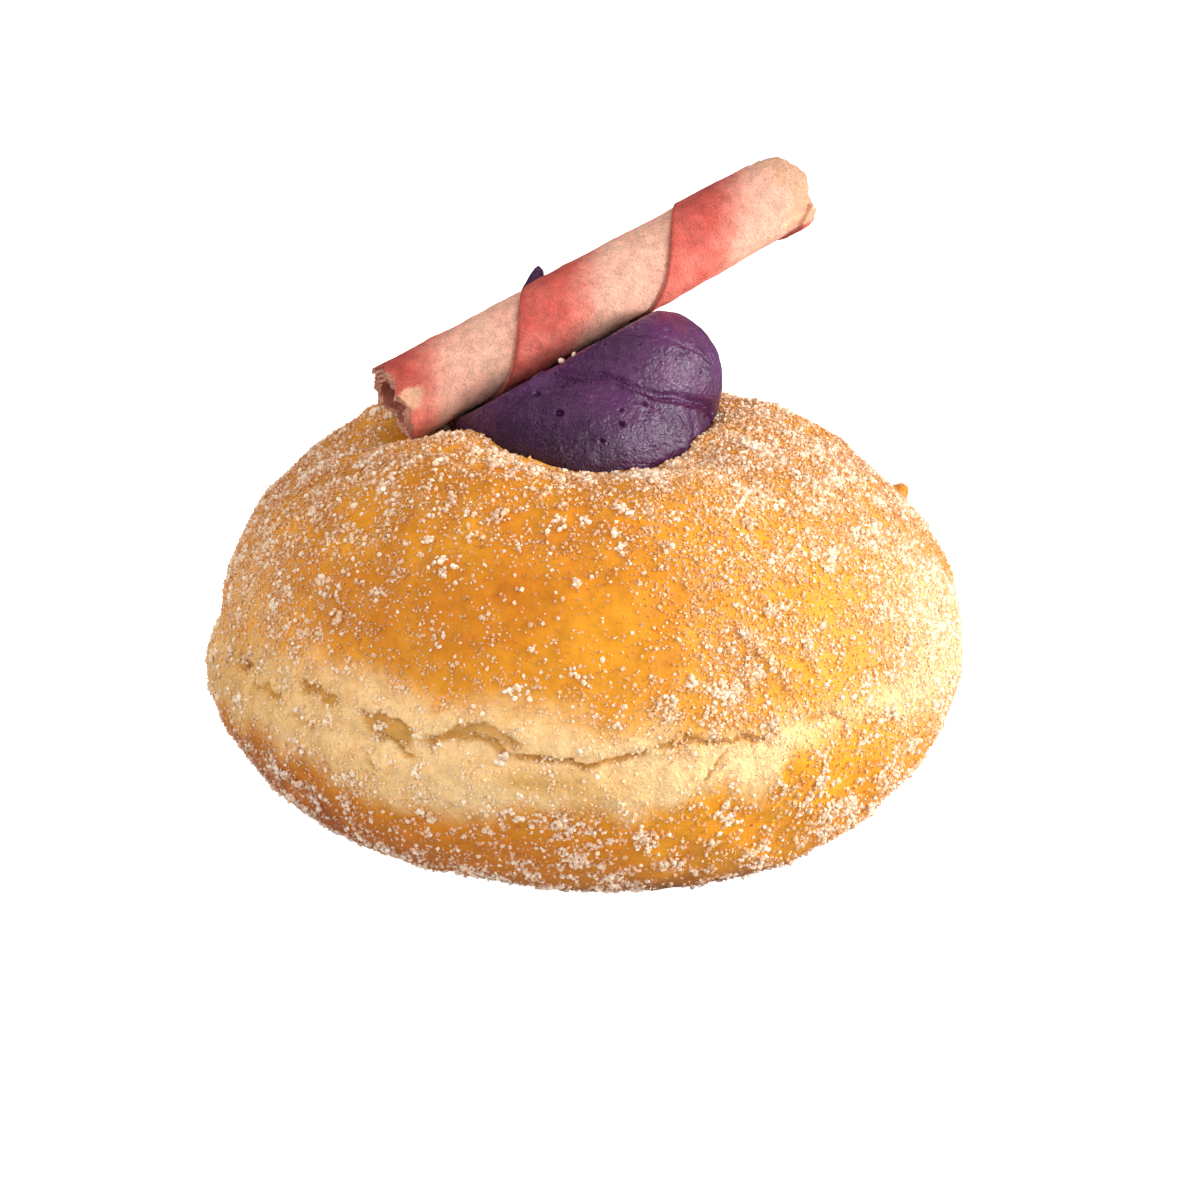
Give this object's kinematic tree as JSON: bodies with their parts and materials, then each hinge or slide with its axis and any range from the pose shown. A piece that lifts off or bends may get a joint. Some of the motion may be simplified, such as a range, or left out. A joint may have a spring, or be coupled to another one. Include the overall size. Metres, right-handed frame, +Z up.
{
  "type": "filled doughnut",
  "caption": "Puffed sugar-coated bun without a hole, torn pale round its waist, with a swirl of purple piped cream in its top and a striped rolled wafer laid across it.",
  "frame": {"origin": "middle of the outline seen from above, at the height of the flat base", "axes": "+Z up; -Y towards the front, where the picture was taken from; +X to the right seen from the front, towards the wafer's raised end"},
  "size_m": [0.0931, 0.092, 0.0824],
  "materials": {
    "doughnut": "baked golden crust with a coat of sugar",
    "cream": "smooth dark purple cream with a soft sheen",
    "wafer": "dry wafer, striped red and cream"
  },
  "bodies": {
    "root": {"doughnut": "doughnut", "cream": "cream", "wafer": "wafer"}
  },
  "joints": []
}
